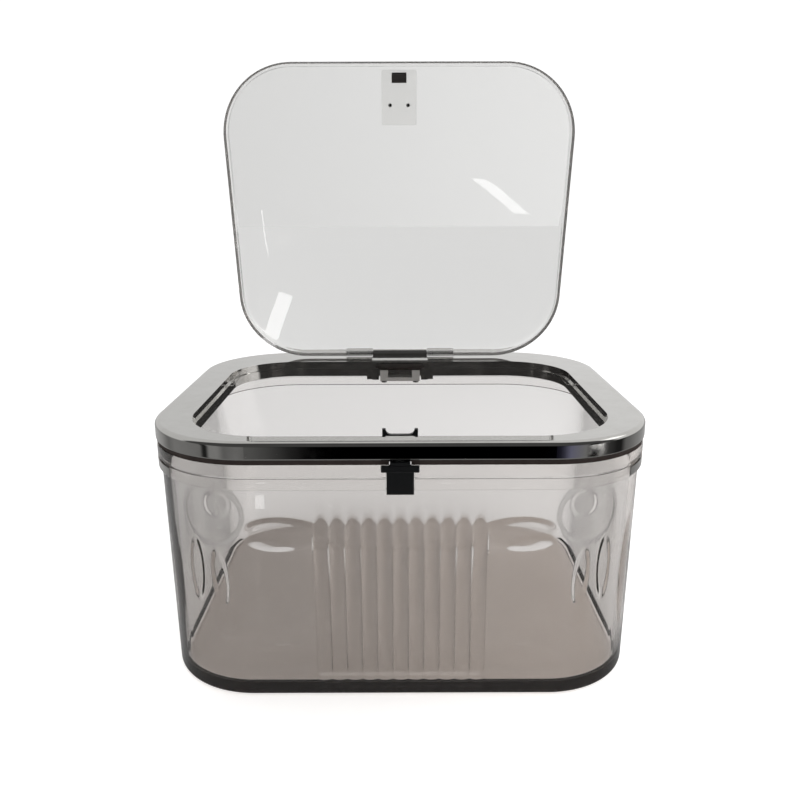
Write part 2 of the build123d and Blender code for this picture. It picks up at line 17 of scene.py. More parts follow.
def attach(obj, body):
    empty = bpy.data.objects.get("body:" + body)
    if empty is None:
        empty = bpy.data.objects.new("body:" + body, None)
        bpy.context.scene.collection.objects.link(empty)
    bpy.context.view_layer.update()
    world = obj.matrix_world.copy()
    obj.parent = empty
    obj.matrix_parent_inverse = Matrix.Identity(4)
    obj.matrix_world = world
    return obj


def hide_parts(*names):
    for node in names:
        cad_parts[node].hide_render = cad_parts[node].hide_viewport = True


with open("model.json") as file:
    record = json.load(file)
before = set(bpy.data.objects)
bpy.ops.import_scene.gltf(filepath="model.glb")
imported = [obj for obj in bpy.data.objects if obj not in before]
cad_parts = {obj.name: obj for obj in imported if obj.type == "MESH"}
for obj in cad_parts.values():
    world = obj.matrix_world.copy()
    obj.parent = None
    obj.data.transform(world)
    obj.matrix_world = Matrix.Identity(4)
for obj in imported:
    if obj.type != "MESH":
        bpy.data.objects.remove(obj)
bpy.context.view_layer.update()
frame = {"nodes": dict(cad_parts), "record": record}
MM = 0.001

# The tub in millimetres, as in the CAD model unless the comment says otherwise
RIM_W = 250.0            # width over the rim
RIM_L = 211.0            # depth over the rim
RIM_R = 54.0             # corner radius of the rim
TOP = 123.1              # height of the collar's top
GROOVE_TOP = 116.9       # heights between which a groove runs round the collar
GROOVE_LOW = 116.2
GROOVE_D = 0.7           # depth of the groove
COLLAR_LOW = 110.6       # height of the collar's underside
COLLAR_SET = 0.4         # from the rim's outer face in to the collar's
COLLAR_EDGE = 0.6        # rounding of the collar's lower edge
WALL_SET = 2.1           # from the rim's outer face in to the top of the wall
WALL_T = 3.2             # thickness of the wall
WALL_LEAN = 2.4          # how far the wall leans in on its way down
FOOT_CORNER_R = 47.0     # outer corner radius at the foot
FOOT_R = 2.6             # rounding of the foot's edge, 1.5 in the CAD model
FLOOR_T = 5.0            # thickness of the floor
FLOOR_R = 4.0            # rounding between floor and wall
NECK = 5.1               # half width of the notch for the latch's neck
NECK_CUT = 119.15        # height that this notch is cut down to
POCKET = 6.75            # half width of the button's pocket
POCKET_TOP = 119.95      # height of the pocket's top
POCKET_SET = 2.7         # from the rim's outer face in to the pocket's back
CLIP_FROM = 4.0          # degrees from the side, round the front corner, between
CLIP_TO = 42.0           # which a side clip's window lies
CLIP_SET = 1.8           # from the rim's outer face in to the window's back
FLUTES = 11              # number of flutes, and of reeds behind them
PITCH = 7.5              # spacing of the flutes
RISE = 0.9               # how far a flute stands out
DIP = 0.35               # how deep the line between two flutes is, only here
FLUTE_TOP = 107.5        # height where the flutes begin
FLUTE_FADE = 28.0        # length over which they rise
FLUTE_LOW = 4.5          # height where they end
FLUTE_END = 3.6          # length over which they sink again

# Waviness of the inner wall, only here
REED_RISE = 0.95         # how far a reed stands in
REED_TOP = 84.0          # height where the reeds begin
REED_FADE = 5.0          # length over which they rise
REED_END = 4.0           # length over which they sink again above the floor
SWELL_FADE = 2.0         # height over which the swells fade at the collar
SWELL_END = 8.0          # and above the floor

# Swells of the inner wall: place round the wall from the front's middle,
# height, half widths along and up the wall, lean of the long axis in degrees,
# thickness added, and width of the swell's border as a share of its size
SWELLS = (
    (87.0, 101.5, 7.4, 7.4, 0, 0.4, 0.3),
    (90.0, 96.0, 17.5, 17.0, 0, 0.35, 0.2),
    (87.0, 63.0, 4.6, 17.0, -6, 0.45, 0.35),
    (85.0, 41.5, 9.5, 13.0, 0, 0.4, 0.3),
    (85.0, 41.0, 5.8, 8.0, 0, 0.35, 0.3),
    (101.0, 66.0, 5.0, 19.0, 0, 0.6, 0.4),
    (55.0, 87.0, 22.0, 9.0, 6, 0.3, 0.35),
    (61.5, 82.0, 12.5, 4.2, 8, 0.45, 0.5),
    (58.0, 30.5, 6.0, 4.2, 12, 0.5, 0.5),
    (60.0, 18.0, 22.0, 9.0, -8, 0.6, 0.4),
    (125.0, 55.0, 9.0, 36.0, 0, 0.9, 0.9),
    (170.0, 60.0, 24.0, 34.0, 0, 0.7, 0.9),
    (290.0, 62.0, 18.0, 22.0, 0, 0.7, 0.9),
)

HALF_X = RIM_W / 2 - RIM_R      # from the middle to the corners' centres
HALF_Y = RIM_L / 2 - RIM_R
PANEL = FLUTES * PITCH / 2      # half width of the fluted panel
CORNER_WAY = 50.0               # radius at which the way round a corner is measured
STILL = 0.65                    # share of a straight wall that keeps its place as the tub narrows

# Columns of the tub's mesh
FLUTE_STEPS = 12         # in each flute
FRONT_STEPS = 38         # beside the flutes
FINE_TURN = -46.0        # angle up to which the front corner is finer
FINE_STEPS = 68          # up to that angle
CORNER_STEPS = 19        # from it to the side
SIDE_STEPS = 22          # along a side
BACK_TURN_STEPS = 30     # round a back corner
BACK_STEPS = 14          # along half the back
# Rows of the tub's mesh
FLOOR_SHARES = [0, 0.3, 0.55, 0.75, 0.9]    # shares of the way out over the floor
WALL_STEPS = 122         # up the inner wall
RIM_STEPS = 5            # from there to its top
EDGE_STEPS = 5           # round the collar's lower edge
DOME_STEPS = 17          # down the flutes' upper ends
FALL_STEPS = 6           # down the flutes
END_STEPS = 7            # down to the foot's rounding
BEND_STEPS = 9           # in the roundings of floor and foot
BASE_SHARES = [0.8, 0.5, 0]                 # shares of the way out, back in under the floor
WELD = 0.005             # points closer than this are one

# Kinds of the points of the tub's section
INSIDE, ABOVE_POCKET, BESIDE_POCKET, BESIDE_CLIP, OUTSIDE = range(5)
# Cuts in the collar that a place round the tub can lie in
NO_CUT, IN_POCKET, IN_NECK, IN_CLIP = range(4)

# Camera of the photograph, fitted to the outlines of rim, lid and foot
PHOTO_PX = 800.0
FOCAL_PX = 779.33
SENSOR = 36.0
CAMERA_PLACE = (0.0, -440.87, 241.75)
CAMERA_PITCH = 0.25654
CAMERA_ROLL = -0.003

TABLE_HALF = 6000.0      # half the table's width
TABLE_DROP = 0.2         # how far the table lies below the foot
WHITE = (1.0, 1.0, 1.0, 1.0)
STUDIO_FLOOR = (0.25, 0.25, 0.25, 1.0)

# Lit walls of the studio in the mirrors: azimuth in degrees, 0 at the front, and brightness or colour
STUDIO_WALLS = (
    (-180, 0.60), (-125, 0.40), (-108, 0.20), (-97, 0.27), (-66, 0.24), (-60, 0.22), (-57, 0.02),
    (-53, 0.02), (-49, 0.30), (-40, 0.30), (-33, 0.17), (-20, 0.23), (-12, 0.15), (-10.5, 0.10),
    (-9, 0.03), (-7, 0.0), (12, 0.0), (18, "#20202C"), (27, "#74748A"), (44, 0.24), (49, 0.01),
    (57, 0.01), (62, 0.30), (70, 0.06), (83, 0.02), (90, 0.02), (97, 0.17), (118, 0.3), (180, 0.60),
)

# Softboxes in the mirrors: azimuth and half width, elevation and half height
# in degrees, slant as degrees of azimuth for each of elevation, brightness
SOFTBOXES = (
    (4.5, 0.35, -25.6, 0.6, -1.67, 5.0),
    (-11.1, 0.35, -24.2, 0.5, 0.0, 4.5),
    (56.0, 9.0, -14.0, 3.0, 0.0, 4.0),
    (90.0, 15.0, 35.0, 10.0, 0.0, 1.2),
)

# Edges of the window behind the box: axis of the ray's direction, where the
# edge is darkest and where it is bright, and the share of light left when darkest
WINDOW_EDGES = (
    ("X", 0.6, 0.42, 0.6), ("X", -0.6, -0.42, 0.25), ("Z", 0.5, 0.36, 0.15), ("Y", 0.1, 0.7, 0.15),
)


def linear(code):
    """An sRGB hex colour as linear RGBA: each channel through the sRGB curve."""
    c = np.array([int(code[i:i + 2], 16) for i in (1, 3, 5)]) / 255
    c = np.where(c <= 0.04045, c / 12.92, ((c + 0.055) / 1.055) ** 2.4)
    return (*c.tolist(), 1.0)


def add(tree, kind, settings=None, **links):
    """Add a node, set its settings and plain values, and link sockets passed as (node, output).

    A socket is named with _ for a space, or by its number after a _.
    """
    node = tree.nodes.new(kind)
    for name, value in (settings or {}).items():
        setattr(node, name, value)
    for name, value in links.items():
        key = int(name[1:]) if name[0] == "_" else name.replace("_", " ")
        if isinstance(value, tuple) and isinstance(value[0], bpy.types.Node):
            tree.links.new(value[0].outputs[value[1]], node.inputs[key])
        else:
            node.inputs[key].default_value = value
    return node


def object_place(tree):
    """Place on the piece, in metres."""
    return (add(tree, "ShaderNodeTexCoord"), "Object")


def noise(tree, place, scale, detail, roughness=0.5):
    """Cloudy noise from 0 to 1."""
    return (add(
        tree, "ShaderNodeTexNoise", Vector=place, Scale=scale, Detail=detail, Roughness=roughness,
    ), 0)


def spread(tree, value, low, high, least, most, smooth=False):
    """Take value from low..high to least..most, evenly or as a smooth step."""
    return (add(
        tree, "ShaderNodeMapRange", {"interpolation_type": "SMOOTHSTEP" if smooth else "LINEAR"},
        Value=value, From_Min=low, From_Max=high, To_Min=least, To_Max=most,
    ), 0)


def maths(tree, operation, *values, clamp=False):
    """Result of a sum on numbers and (node, output) values."""
    numbered = {f"_{i}": value for i, value in enumerate(values)}
    return (add(tree, "ShaderNodeMath", {"operation": operation, "use_clamp": clamp}, **numbered), 0)


def blend(tree, share, first, second):
    """Mix of two colours."""
    return (add(tree, "ShaderNodeMix", {"data_type": "RGBA"}, _0=share, _6=first, _7=second), 2)


def choose(tree, share, first, second):
    """Mix of two shaders."""
    return (add(tree, "ShaderNodeMixShader", _0=share, _1=first, _2=second), 0)


def relief(tree, height, strength, distance):
    """Bump of a height."""
    return (add(tree, "ShaderNodeBump", Strength=strength, Distance=distance, Height=height), 0)


def new_material(name):
    """An empty material."""
    material = bpy.data.materials.new(name)
    material.use_nodes = True
    material.node_tree.nodes.clear()
    return material, material.node_tree


def coat(tree, **values):
    """Give the material one principled surface."""
    surface = add(tree, "ShaderNodeBsdfPrincipled", **values)
    add(tree, "ShaderNodeOutputMaterial", Surface=(surface, 0))


def smoky_styrene(name, skin, depth, clear):
    """Smoke-tinted clear styrene, injection-moulded in a polished tool.

    The eye sees a faint warm grey that deepens where the plastic is thick, a
    glassy gloss, the slight flow waves of the moulding and thin hazy smears.
    skin is the tint of each surface, depth how fast light fades inside and
    clear the share of light that a surface lets through without haze.
    """
    material, tree = new_material(name)
    place = object_place(tree)
    waves = relief(tree, noise(tree, place, 38.0, 1.0), 0.02, 0.0008)
    haze = spread(tree, noise(tree, place, 70.0, 4.0, 0.6), 0.45, 0.75, 0.006, 0.03)
    glass = add(
        tree, "ShaderNodeBsdfPrincipled",
        Base_Color=linear(skin), Roughness=haze, IOR=1.5, Transmission_Weight=clear, Normal=waves,
    )
    unshaded = add(tree, "ShaderNodeBsdfTransparent", Color=linear("#F8F6F4"))
    path = add(tree, "ShaderNodeLightPath")
    surface = choose(tree, (path, "Is Shadow Ray"), (glass, 0), (unshaded, 0))
    tint = add(tree, "ShaderNodeVolumeAbsorption", Color=linear("#C8B9AD"), Density=depth)
    add(tree, "ShaderNodeOutputMaterial", Surface=surface, Volume=(tint, 0))
    return material


def chromed_abs():
    """Bright chrome plated on moulded ABS.

    The eye sees a dark mirror with a slightly uneven surface, since the
    plating follows the moulding, and a thin film of finger smears.
    """
    material, tree = new_material("chrome_plated_on_moulded_abs")
    place = object_place(tree)
    waves = relief(tree, noise(tree, place, 28.0, 2.0), 0.06, 0.0005)
    smear = noise(tree, place, 95.0, 5.0, 0.65)
    film = spread(tree, smear, 0.4, 0.75, 0.035, 0.12)
    shade = blend(tree, smear, linear("#CBCAC7"), linear("#B9B7B3"))
    coat(tree, Base_Color=shade, Metallic=1.0, Roughness=film, Normal=waves)
    return material


def moulded(name, light, dark, grain, gloss, depth):
    """An opaque moulding: two close shades, spark-eroded grain and uneven gloss.

    grain is the size of the texture in millimetres, gloss the lowest and
    highest roughness, depth the depth of the texture in millimetres.
    """
    material, tree = new_material(name)
    place = object_place(tree)
    cloud = noise(tree, place, 120.0, 4.0)
    spark = noise(tree, place, 1 / (grain * MM), 3.0)
    shade = blend(tree, cloud, linear(light), linear(dark))
    rough = spread(tree, cloud, 0.3, 0.7, gloss[0], gloss[1])
    coat(tree, Base_Color=shade, Roughness=rough, Normal=relief(tree, spark, 0.6, depth * MM))
    return material


def drawn_steel():
    """Drawn and turned steel of the pins, screws and spring.

    The eye sees a soft grey shine with fine lines round the wire, and a
    little darker staining in places.
    """
    material, tree = new_material("drawn_steel_turned")
    place = object_place(tree)
    stretched = add(tree, "ShaderNodeMapping", Vector=place, Scale=(6000.0, 400.0, 400.0))
    lines = noise(tree, (stretched, 0), 1.0, 2.0)
    stain = noise(tree, place, 600.0, 3.0)
    shade = blend(tree, stain, linear("#B4B4B2"), linear("#8C8B88"))
    rough = spread(tree, lines, 0.3, 0.7, 0.18, 0.38)
    turned = relief(tree, lines, 0.4, 0.00002)
    coat(tree, Base_Color=shade, Metallic=1.0, Roughness=rough, Normal=turned)
    return material


def dress_nodes():
    """Give every CAD node its material; return the materials by slot."""
    finishes = {
        "smoke_clear": smoky_styrene("smoke_tinted_styrene_moulded", "#FEFEFE", 56.0, 0.985),
        "chrome_trim": chromed_abs(),
        # Soft extruded rubber: matt, brown-black, with a fine dusty grain
        "seal_rubber": moulded("extruded_seal_rubber", "#3A2C26", "#261C18", 0.5, (0.55, 0.8), 0.03),
        # Filled nylon: dark, half matt, spark-eroded
        "dark_plastic": moulded("dark_nylon_moulded", "#332E2B", "#24201E", 0.35, (0.3, 0.5), 0.01),
        # Natural acetal: light grey, waxy shine
        "grey_plastic": moulded("grey_acetal_moulded", "#A6A4A1", "#8F8D8A", 0.4, (0.3, 0.45), 0.01),
        "steel": drawn_steel(),
        # Black ABS with a fine satin grain that catches soft light
        "black_plastic": moulded("black_abs_satin_moulded", "#16181A", "#0C0D0E", 0.3, (0.28, 0.42), 0.008),
    }
    for row in frame["record"]["subparts"]:
        data = frame["nodes"][row["node"]].data
        for i in range(len(data.materials)):
            data.materials[i] = finishes[row["material_slot"]]
    # Thin styrene: a faint haze and hardly any tint in its depth, so that its polished edge stays light
    thin = smoky_styrene("smoke_tinted_styrene_thin", "#FEFEFD", 5.0, 0.94)
    for name in ("lid", "catch_plate"):
        frame["nodes"][name].data.materials[0] = thin
    return finishes


def ease(x):
    """Smooth step: 0 below 0, 1 above 1, 3x^2 - 2x^3 between."""
    x = np.clip(x, 0, 1)
    return x * x * (3 - 2 * x)


def rows(*columns):
    """Table of the columns; a single number fills its whole column."""
    return np.stack(np.broadcast_arrays(*[np.asarray(v, float) for v in columns]), axis=1)


def front_stations():
    """Places along the right half of the front wall, with a column at each edge of a cut."""
    fine = np.linspace(0, PANEL, FLUTES * FLUTE_STEPS // 2 + 1)
    in_pocket = fine[(fine > NECK) & (fine < POCKET)]
    plain = np.append(PANEL + 0.5, np.linspace(PANEL + 1.2, HALF_X, FRONT_STEPS))
    return [
        rows(np.append(fine[fine < NECK], NECK), -HALF_Y, -90, IN_NECK),
        rows(np.hstack([NECK, in_pocket, POCKET]), -HALF_Y, -90, IN_POCKET),
        rows(np.hstack([POCKET, fine[fine > POCKET], plain]), -HALF_Y, -90, NO_CUT),
    ]


def corner_stations():
    """Places round the right front corner, finer on its front half, where the swells are."""
    turn = np.hstack([
        np.linspace(-90, FINE_TURN, FINE_STEPS), np.linspace(FINE_TURN, 0, CORNER_STEPS)[1:],
    ])
    first, last = -CLIP_TO, -CLIP_FROM
    in_clip = turn[(turn > first) & (turn < last)]
    return [
        rows(HALF_X, -HALF_Y, np.append(turn[(turn > -90) & (turn < first)], first), NO_CUT),
        rows(HALF_X, -HALF_Y, np.hstack([first, in_clip, last]), IN_CLIP),
        rows(HALF_X, -HALF_Y, np.append(last, turn[turn > last]), NO_CUT),
    ]


def tub_stations():
    """All places round the tub, anticlockwise from the middle of the front.

    Columns: the place's x and y on the rectangle of the corners' centres,
    angle of the wall's normal, and cut that the place lies in. A place at the
    edge of a cut comes twice, once on each side of that edge. The left half
    mirrors the right half.
    """
    half = np.vstack([
        *front_stations(),
        *corner_stations(),
        rows(HALF_X, np.linspace(-HALF_Y, HALF_Y, SIDE_STEPS)[1:], 0, NO_CUT),
        rows(HALF_X, HALF_Y, np.linspace(0, 90, BACK_TURN_STEPS)[1:], NO_CUT),
        rows(np.linspace(HALF_X, 0, BACK_STEPS)[1:], HALF_Y, 90, NO_CUT),
    ])
    mirrored = half[-2:0:-1] * (-1, 1, 1, 1)
    mirrored[:, 2] = 180 - mirrored[:, 2]
    return np.vstack([half, mirrored])


def inner_profile():
    """Section from the middle of the floor's top, round into the inner wall and up it."""
    foot = WALL_SET + WALL_LEAN + WALL_T
    foot_r = FOOT_CORNER_R - WALL_T
    bend = np.linspace(0, math.pi / 2, BEND_STEPS)
    turned = FLOOR_R * (1 - np.sin(bend))
    wall = WALL_SET + WALL_T
    rise = np.linspace(FLOOR_T + FLOOR_R, COLLAR_LOW, WALL_STEPS)[1:]
    lean = (COLLAR_LOW - rise) / (COLLAR_LOW - FLOOR_T)
    wall_r = RIM_R - wall + (FOOT_CORNER_R + WALL_SET - RIM_R) * lean
    return [
        rows(foot + FLOOR_R, foot_r - FLOOR_R, FLOOR_T, FLOOR_SHARES, INSIDE),
        rows(foot + turned, foot_r - turned, FLOOR_T + FLOOR_R * (1 - np.cos(bend)), 1, INSIDE),
        rows(wall + WALL_LEAN * lean, wall_r, rise, 1, INSIDE),
        rows(wall, RIM_R - wall, np.linspace(COLLAR_LOW, TOP, RIM_STEPS)[1:], 1, INSIDE),
    ]


def collar_profile():
    """Section down the collar's outer face, over its groove and round its lower edge."""
    face_r = RIM_R - COLLAR_SET
    groove = COLLAR_SET + GROOVE_D
    edge = np.linspace(0, math.pi / 2, EDGE_STEPS)
    turned = COLLAR_EDGE * (1 - np.cos(edge))
    low = COLLAR_LOW + COLLAR_EDGE * (1 - np.sin(edge))
    return [
        rows(COLLAR_SET, face_r, [TOP, POCKET_TOP], 1, ABOVE_POCKET),
        rows(COLLAR_SET, face_r, [POCKET_TOP, GROOVE_TOP], 1, BESIDE_POCKET),
        rows(groove, RIM_R - groove, [GROOVE_TOP, GROOVE_LOW], 1, BESIDE_POCKET),
        rows(COLLAR_SET, face_r, [GROOVE_LOW], 1, BESIDE_CLIP),
        rows(COLLAR_SET + turned, face_r - turned, low, 1, BESIDE_CLIP),
    ]


def outer_profile():
    """Section down the fluted outer wall and round the foot to the middle of the underside."""
    dome = FLUTE_TOP - FLUTE_FADE
    foot_top = FLUTE_LOW + FLUTE_END
    fall = np.hstack([
        COLLAR_LOW,
        np.linspace(FLUTE_TOP, dome, DOME_STEPS),
        np.linspace(dome, foot_top, FALL_STEPS)[1:],
        np.linspace(foot_top, FOOT_R, END_STEPS)[1:],
    ])
    lean = (COLLAR_LOW - fall) / COLLAR_LOW
    wall_r = RIM_R - WALL_SET + (FOOT_CORNER_R + WALL_SET - RIM_R) * lean
    foot = WALL_SET + WALL_LEAN
    bend = np.linspace(0, math.pi / 2, BEND_STEPS)[::-1]
    turned = FOOT_R * (1 - np.sin(bend))
    return [
        rows(WALL_SET + WALL_LEAN * lean, wall_r, fall, 1, OUTSIDE),
        rows(foot + turned, FOOT_CORNER_R - turned, FOOT_R * (1 - np.cos(bend)), 1, OUTSIDE),
        rows(foot + FOOT_R, FOOT_CORNER_R - FOOT_R, 0, BASE_SHARES, OUTSIDE),
    ]


def tub_profile():
    """Section of the tub, from the middle of the floor's top to the middle of its underside.

    Columns: distance inside the rim's outer face, corner radius, height,
    share of the way out from the middle, and kind of the point.
    """
    return np.vstack(inner_profile() + collar_profile() + outer_profile())


def swell(way, height):
    """Thickness that the inner wall gains.

    Each swell is a low plateau on a leaning ellipse: with d the distance in
    half widths, it adds its thickness times the smooth step of (1 - d) / border.
    """
    total = np.zeros(np.broadcast(way, height).shape)
    for s0, z0, w, h, lean, thick, border in SWELLS:
        c, s = math.cos(math.radians(lean)), math.sin(math.radians(lean))
        along = (way - s0) * c + (height - z0) * s
        up = (height - z0) * c - (way - s0) * s
        total += thick * ease((1 - np.hypot(along / w, up / h)) / border)
    low = ease((height - FLOOR_T - FLOOR_R) / SWELL_END)
    return total * low * ease((COLLAR_LOW - height) / SWELL_FADE + 0.5)


def arc(x, rise, dip):
    """Row of circular arcs, one each PITCH: sqrt(r^2 - s^2) - r + rise, s from the arc's middle."""
    s = x - PITCH * np.round(x / PITCH)
    h = rise + dip
    r = (PITCH ** 2 / 4 + h ** 2) / (2 * h)
    inside = np.abs(x) < PANEL + 0.1
    return np.where(inside, np.sqrt(r * r - s * s) - r + rise, 0)


def flute(x, height):
    """Relief of the fluted panel: arcs that grow as (1 - cos(pi t)) / 2 at the top.

    At the foot they grow as sqrt(1 - (1 - t)^2).
    """
    top = (1 - np.cos(math.pi * np.clip((FLUTE_TOP - height) / FLUTE_FADE, 0, 1))) / 2
    low = np.clip((height - FLUTE_LOW) / FLUTE_END, 0, 1)
    return arc(x, RISE, DIP) * top * np.sqrt(1 - (1 - low) ** 2)


def reed(x, height):
    """Relief of the reeds behind the flutes: arcs under a smooth step at top and foot."""
    low = ease((height - FLOOR_T - FLOOR_R) / REED_END)
    return arc(x, REED_RISE, 0) * low * ease((REED_TOP - height) / REED_FADE)


def way_round(x, y, angle):
    """Way along the wall from the middle of the front, the same to the left as to the right."""
    turned = np.radians(np.where(x < 0, 180 - angle, angle) + 90)
    side = np.abs(x)
    straight = np.where(y > -HALF_Y, HALF_X + (y + HALF_Y) + (HALF_X - side), side)
    return straight + CORNER_WAY * turned


def sunk_face(inset, kind, cut):
    """Distance inside the rim's outer face once the cuts are made in the collar."""
    collar = (kind >= ABOVE_POCKET) & (kind <= BESIDE_CLIP)
    floor = np.where(collar & (cut == IN_NECK), POCKET_SET, 0)
    floor = np.where(collar & (kind > ABOVE_POCKET) & (cut == IN_POCKET), POCKET_SET, floor)
    floor = np.where((kind == BESIDE_CLIP) & (cut == IN_CLIP), CLIP_SET, floor)
    return np.maximum(inset, floor)


def tub_points():
    """Grid of the tub's points in millimetres, one row per profile point, one column per place.

    Each point lies at its corner's centre plus the corner radius along the
    wall's normal. Where the tub narrows, the outer parts of the straight
    walls move with the corners and their middle keeps its place.
    """
    ux, uy, angle, cut = (v[None, :] for v in tub_stations().T)
    inset, radius, z, share, kind = (v[:, None] for v in tub_profile().T)
    deeper = sunk_face(inset, kind, cut)
    r = radius - (deeper - inset)
    z = np.where(cut == IN_NECK, np.minimum(z, NECK_CUT), z)
    grow_x = RIM_W / 2 - deeper - r - HALF_X
    grow_y = RIM_L / 2 - deeper - r - HALF_Y
    x = ux + np.sign(ux) * grow_x * ease((np.abs(ux) / HALF_X - STILL) / (1 - STILL))
    y = uy + np.sign(uy) * grow_y * ease((np.abs(uy) / HALF_Y - STILL) / (1 - STILL))
    front = (uy == -HALF_Y) & (np.abs(ux) < HALF_X)
    outer = np.where((kind == OUTSIDE) & front, flute(ux, z), 0)
    inner = -swell(way_round(ux, uy, angle), z) - np.where(front, reed(ux, z), 0)
    out = r + np.where((kind == INSIDE) & (share == 1), inner, outer)
    turn = np.radians(angle)
    x = (x + np.cos(turn) * out) * share
    y = (y + np.sin(turn) * out) * share
    return np.stack(np.broadcast_arrays(x, y, z), axis=-1)


def grid_mesh(name, points, sharp):
    """Closed mesh from a grid of points that joins up sideways and ends in two poles.

    Edges with more than sharp degrees between their faces stay sharp.
    """
    count, columns = points.shape[:2]
    index = np.arange(count * columns).reshape(count, columns)
    beside = np.roll(index, -1, axis=1)
    faces = np.stack([index[:-1], beside[:-1], beside[1:], index[1:]], axis=-1).reshape(-1, 4)
    mesh = bpy.data.meshes.new(name)
    mesh.from_pydata((points * MM).reshape(-1, 3).tolist(), [], faces.tolist())
    work = bmesh.new()
    work.from_mesh(mesh)
    bmesh.ops.remove_doubles(work, verts=work.verts, dist=WELD * MM)
    bmesh.ops.recalc_face_normals(work, faces=work.faces)
    work.to_mesh(mesh)
    work.free()
    mesh.shade_smooth()
    mesh.set_sharp_from_angle(angle=math.radians(sharp))
    return mesh


def make_tub(finish):
    """The tub as one moulding: thick floor, leaning walls with moulded swells, collar, cuts and flutes."""
    mesh = grid_mesh("tub_moulding", tub_points(), sharp=28)
    mesh.materials.append(finish)
    tub = bpy.data.objects.new("tub_moulding", mesh)
    bpy.context.scene.collection.objects.link(tub)
    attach(tub, "box")
    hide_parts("tub")


def set_camera():
    """Camera at the photograph's place; the lens suits a square picture."""
    data = bpy.data.cameras.new("camera")
    data.sensor_width = SENSOR
    data.lens = SENSOR * FOCAL_PX / PHOTO_PX
    data.clip_start = 0.01
    camera = bpy.data.objects.new("camera", data)
    bpy.context.scene.collection.objects.link(camera)
    forward = Vector((0.0, math.cos(CAMERA_PITCH), -math.sin(CAMERA_PITCH)))
    level = Vector((1.0, 0.0, 0.0))
    above = level.cross(forward)
    right = level * math.cos(CAMERA_ROLL) + above * math.sin(CAMERA_ROLL)
    up = above * math.cos(CAMERA_ROLL) - level * math.sin(CAMERA_ROLL)
    turn = Matrix((right, up, -forward)).transposed()
    camera.matrix_world = Matrix.Translation(Vector(CAMERA_PLACE) * MM) @ turn.to_4x4()
    bpy.context.scene.camera = camera


def table_finish():
    """White matt table.

    The camera sees it bare as over-exposed white. In the mirror images
    inside the clear plastic it is painted near black, a painted reflection of
    a dark studio, and painted lighter beyond the box's right, where the
    right-hand lamp falls.
    """
    material, tree = new_material("white_table")
    matt = add(
        tree, "ShaderNodeBsdfPrincipled",
        Base_Color=linear("#FDFDFD"), Roughness=0.9, Specular_IOR_Level=0.0,
    )
    axes = add(tree, "ShaderNodeSeparateXYZ", Vector=object_place(tree))
    # Painted light: in mirror images the table is painted lighter beyond the box's right, where the
    # right-hand lamp falls, and painted near black in front
    right = spread(tree, (axes, "X"), 0.11, 0.16, 0.04, 0.8)
    level = spread(tree, (axes, "Y"), -0.12, -0.06, 0.04, right)
    shade = add(tree, "ShaderNodeBsdfDiffuse", Color=level)
    glare = add(tree, "ShaderNodeEmission", Color=WHITE, Strength=0.36)
    none = add(tree, "ShaderNodeEmission", Strength=0.0)
    path = add(tree, "ShaderNodeLightPath")
    # Painted reflection: rays seen in mirrors get the table's painted near-black colour instead of its
    # white
    mirror = maths(tree, "SUBTRACT", (path, "Glossy Depth"), (path, "Diffuse Depth"), clamp=True)
    plain = choose(tree, mirror, (matt, 0), (shade, 0))
    direct = choose(tree, (path, "Is Camera Ray"), (none, 0), (glare, 0))
    both = add(tree, "ShaderNodeAddShader", _0=plain, _1=direct)
    add(tree, "ShaderNodeOutputMaterial", Surface=(both, 0))
    return material


def set_table():
    """Plain table under the box; the chrome mirrors the studio instead of it."""
    mesh = bpy.data.meshes.new("table")
    s, z = TABLE_HALF * MM, -TABLE_DROP * MM
    mesh.from_pydata([(-s, -s, z), (s, -s, z), (s, s, z), (-s, s, z)], [], [(0, 1, 2, 3)])
    mesh.materials.append(table_finish())
    table = bpy.data.objects.new("table", mesh)
    bpy.context.scene.collection.objects.link(table)
    table.visible_glossy = False


def ramp(tree, value, stops):
    """Colour ramp through stops of (position, brightness or hex colour)."""
    node = add(tree, "ShaderNodeValToRGB", Fac=value)
    steps = node.color_ramp.elements
    for i, (place, shade) in enumerate(stops):
        step = steps[i] if i < 2 else steps.new(place)
        step.position = place
        step.color = linear(shade) if isinstance(shade, str) else (shade, shade, shade, 1)
    return (node, 0)


def softboxes(tree, azimuth, elevation):
    """Brightness of the softboxes that the glossy surfaces mirror."""
    total = 0.0
    for way, wide, height, high, slant, power in SOFTBOXES:
        turned = maths(tree, "MULTIPLY_ADD", elevation, -slant, azimuth)
        middle = math.radians(way - slant * height)
        across = maths(tree, "COMPARE", turned, middle, math.radians(wide))
        along = maths(tree, "COMPARE", elevation, math.radians(height), math.radians(high))
        lit = maths(tree, "MULTIPLY", across, along)
        total = maths(tree, "MULTIPLY_ADD", lit, power, total)
    return total


def studio(tree, axes, azimuth, beside):
    """What the mirrors see: a ring of lit and dark walls level with the box.

    Above it is light behind the box and dark in front, and straight below
    an even grey.
    """
    ring = spread(tree, azimuth, -math.pi, math.pi, 0.0, 1.0)
    walls = ramp(tree, ring, [(0.5 + way / 360, shade) for way, shade in STUDIO_WALLS])
    above = spread(tree, (axes, "Y"), -0.28, -0.1, 0.08, beside, smooth=True)
    below = spread(tree, (axes, "Z"), -0.45, -0.6, 0.0, 1.0, smooth=True)
    sky = spread(tree, (axes, "Z"), -0.1, 0.1, 0.0, 1.0, smooth=True)
    low = blend(tree, below, walls, STUDIO_FLOOR)
    return blend(tree, sky, low, above)


def window(tree, axes, beside):
    """Brightness of the window behind the box that shows through the clear plastic."""
    light = beside
    for axis, dark, bright, least in WINDOW_EDGES:
        edge = spread(tree, (axes, axis), dark, bright, least, 1.0, smooth=True)
        light = maths(tree, "MULTIPLY", light, edge)
    return light


def glow(tree, strength, colour=WHITE):
    """Background light."""
    return (add(tree, "ShaderNodeBackground", Color=colour, Strength=strength), 0)


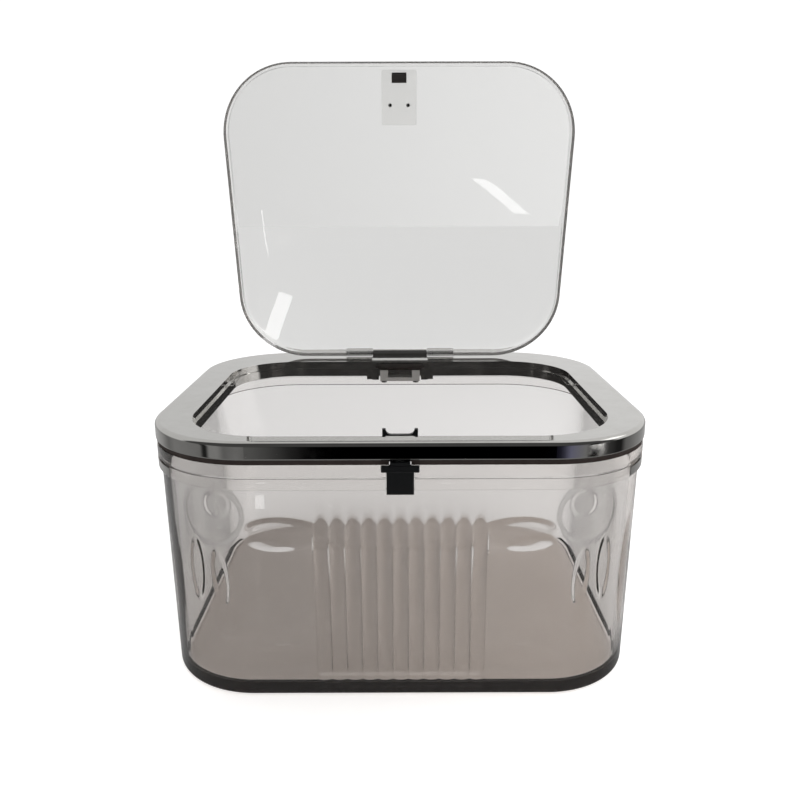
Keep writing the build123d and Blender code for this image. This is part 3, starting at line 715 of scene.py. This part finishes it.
def set_world():
    """Surroundings, other ones for each kind of ray.

    The camera sees bare over-exposed white, matt surfaces an even light a
    little brighter on the right, clear plastic a bright window behind the
    box, and mirrors a dark studio with lit walls and softboxes.
    """
    world = bpy.data.worlds.new("studio")
    world.use_nodes = True
    bpy.context.scene.world = world
    tree = world.node_tree
    tree.nodes.clear()
    place = (add(tree, "ShaderNodeTexCoord"), "Generated")
    axes = add(tree, "ShaderNodeSeparateXYZ", Vector=place)
    azimuth = maths(tree, "ARCTAN2", (axes, "X"), maths(tree, "MULTIPLY", (axes, "Y"), -1.0))
    elevation = maths(tree, "ARCSINE", (axes, "Z"))
    beside = spread(tree, (axes, "X"), -0.35, 0.35, 0.75, 0.9, smooth=True)
    boxes = glow(tree, softboxes(tree, azimuth, elevation))
    walls = glow(tree, 1.0, studio(tree, axes, azimuth, beside))
    backdrop = glow(tree, window(tree, axes, beside))
    mirrored = (add(tree, "ShaderNodeAddShader", _0=walls, _1=boxes), 0)
    glinting = (add(tree, "ShaderNodeAddShader", _0=backdrop, _1=boxes), 0)
    path = add(tree, "ShaderNodeLightPath")
    clear = choose(tree, (path, "Glossy Depth"), backdrop, glinting)
    plain = choose(tree, (path, "Diffuse Depth"), clear, glow(tree, beside))
    direct = choose(tree, (path, "Is Camera Ray"), plain, glow(tree, 1.1))
    gloss = maths(tree, "SUBTRACT", (path, "Is Reflection Ray"), (path, "Is Diffuse Ray"), clamp=True)
    add(tree, "ShaderNodeOutputWorld", Surface=choose(tree, gloss, direct, mirrored))


def softbox(name, place, aim, size, power, roll=0.0, mirrored=False):
    """A rectangular lamp that faces a point, roll in degrees.

    A mirrored one shows in glossy surfaces and lights nothing else.
    """
    lamp = bpy.data.lights.new(name, "AREA")
    lamp.shape = "RECTANGLE"
    lamp.size = size[0] * MM
    lamp.size_y = size[1] * MM
    lamp.energy = power
    lit = bpy.data.objects.new(name, lamp)
    bpy.context.scene.collection.objects.link(lit)
    where = Vector(place) * MM
    turn = (Vector(aim) * MM - where).to_track_quat("-Z", "Y").to_matrix().to_4x4()
    spin = Matrix.Rotation(math.radians(roll), 4, "Z")
    lit.matrix_world = Matrix.Translation(where) @ turn @ spin
    lit.visible_camera = False
    lit.visible_glossy = mirrored
    lit.visible_transmission = not mirrored
    lit.visible_diffuse = not mirrored


def set_light_paths():
    """Let light bounce often enough inside the clear walls and the lid's rounded border."""
    cycles = bpy.context.scene.cycles
    cycles.max_bounces = 20
    cycles.glossy_bounces = 12
    cycles.transmission_bounces = 16
    cycles.transparent_max_bounces = 16


bpy.context.scene.view_settings.view_transform = "Standard"
set_light_paths()
finishes = dress_nodes()
make_tub(finishes["smoke_clear"])
set_camera()
set_table()
set_world()
softbox("right_softbox", (620, 60, 420), (0, 0, 20), (360, 360), power=1.6)
softbox("lid_glint", (-84, 75.7, 156), (-82.4, 93, 166), (10, 34), power=0.006, roll=-24, mirrored=True)
softbox("lid_streak", (-87, 75.7, 211), (-85.5, 93, 221), (0.9, 44), power=0.0006, roll=2, mirrored=True)
